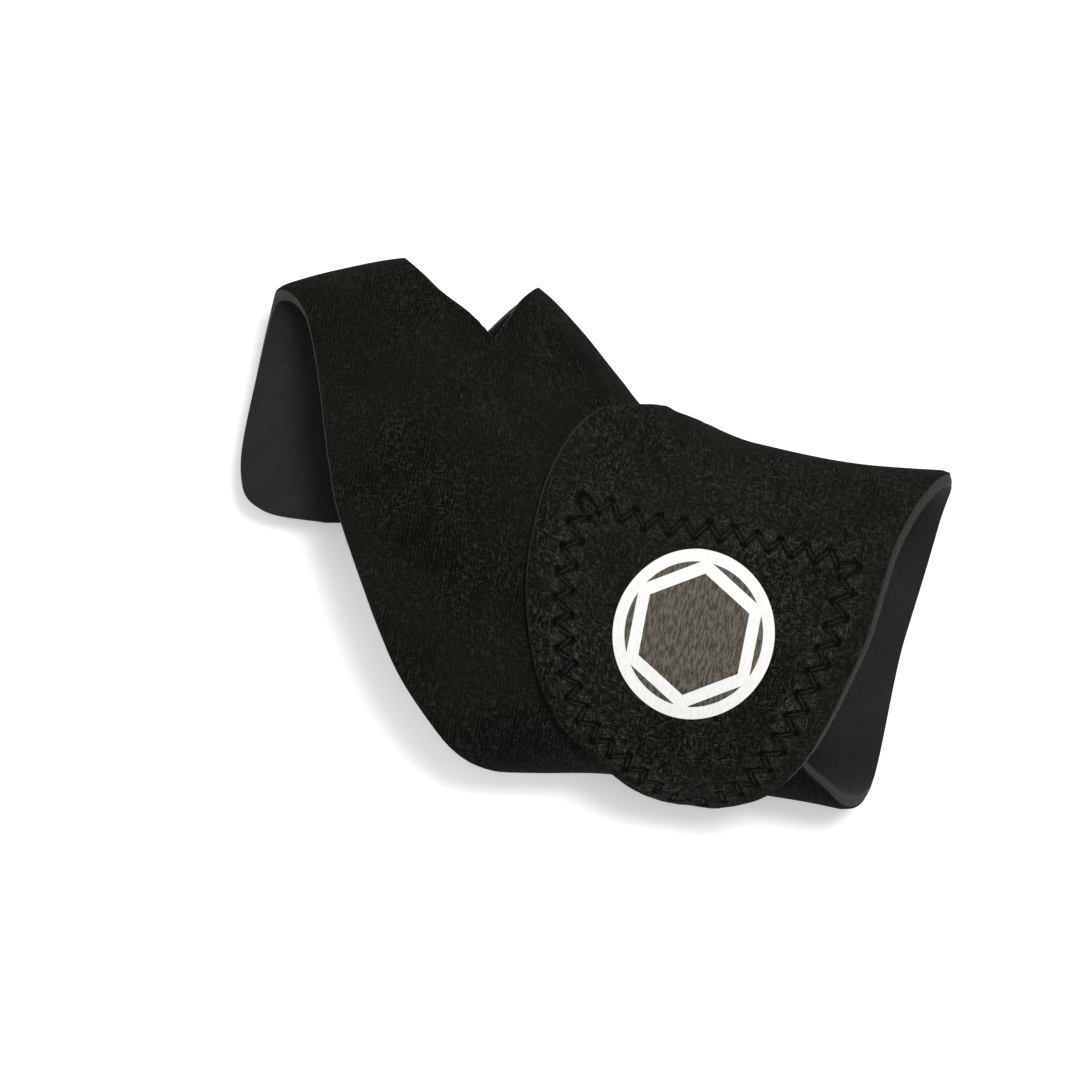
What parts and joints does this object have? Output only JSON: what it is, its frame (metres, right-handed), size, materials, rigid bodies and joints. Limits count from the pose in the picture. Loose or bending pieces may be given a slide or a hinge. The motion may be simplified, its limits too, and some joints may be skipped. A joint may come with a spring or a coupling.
{
  "type": "wrist support brace",
  "caption": "Wrap-around foam and fabric wrist support with a thumb hole and a hook-and-loop closure flap, shown wrapped as worn on a left hand.",
  "frame": {"origin": "on the resting face under the wrist, below the arm's axis", "axes": "+X along the forearm towards the elbow, +Y towards the thumb side, +Z out of the back of the hand"},
  "size_m": [0.1328, 0.0912, 0.053],
  "materials": {
    "outer_fabric": "black brushed loop knit, soft low sheen",
    "foam_rubber": "dark grey-green closed-cell foam, smooth cut edge",
    "lining_fabric": "black plain nylon jersey",
    "hook_tape": "black nylon hook tape",
    "sewing_thread": "black polyester thread",
    "dark_ink": "thin dark grey print that follows the knit",
    "white_ink": "flat white print that follows the knit"
  },
  "bodies": {
    "wrap": {"thumb_tab_lining": "lining_fabric", "thumb_tab_foam_core": "foam_rubber", "thumb_tab_outer_fabric": "outer_fabric", "hand_panel_lining": "lining_fabric", "hand_panel_foam_core": "foam_rubber", "hand_panel_outer_fabric": "outer_fabric", "palm_strap_lining": "lining_fabric", "palm_strap_foam_core": "foam_rubber", "palm_strap_outer_fabric": "outer_fabric"},
    "flap": {"flap_lining": "lining_fabric", "flap_foam_core": "foam_rubber", "flap_outer_fabric": "outer_fabric", "flap_hook_base": "hook_tape", "flap_hook_field": "hook_tape", "flap_seam_thread": "sewing_thread", "emblem_ground": "dark_ink", "emblem_lines": "white_ink"},
    "flap_tip": {"flap_tip_lining": "lining_fabric", "flap_tip_foam_core": "foam_rubber", "flap_tip_outer_fabric": "outer_fabric", "flap_tip_hook_base": "hook_tape", "flap_tip_hook_field": "hook_tape", "flap_tip_seam_thread": "sewing_thread"}
  },
  "joints": [
    {"name": "flap_open", "type": "hinge", "parent": "wrap", "child": "flap", "pos_m": [0.01979, 0.02192, 0.04608], "axis": [-0.9905, -0.045, 0.1296], "range_deg": [0, 135]},
    {"name": "flap_tip_peel", "type": "hinge", "parent": "flap", "child": "flap_tip", "pos_m": [0.01702, -0.02748, 0.04793], "axis": [-0.9996, 0, 0.0274], "range_deg": [0, 75]}
  ]
}
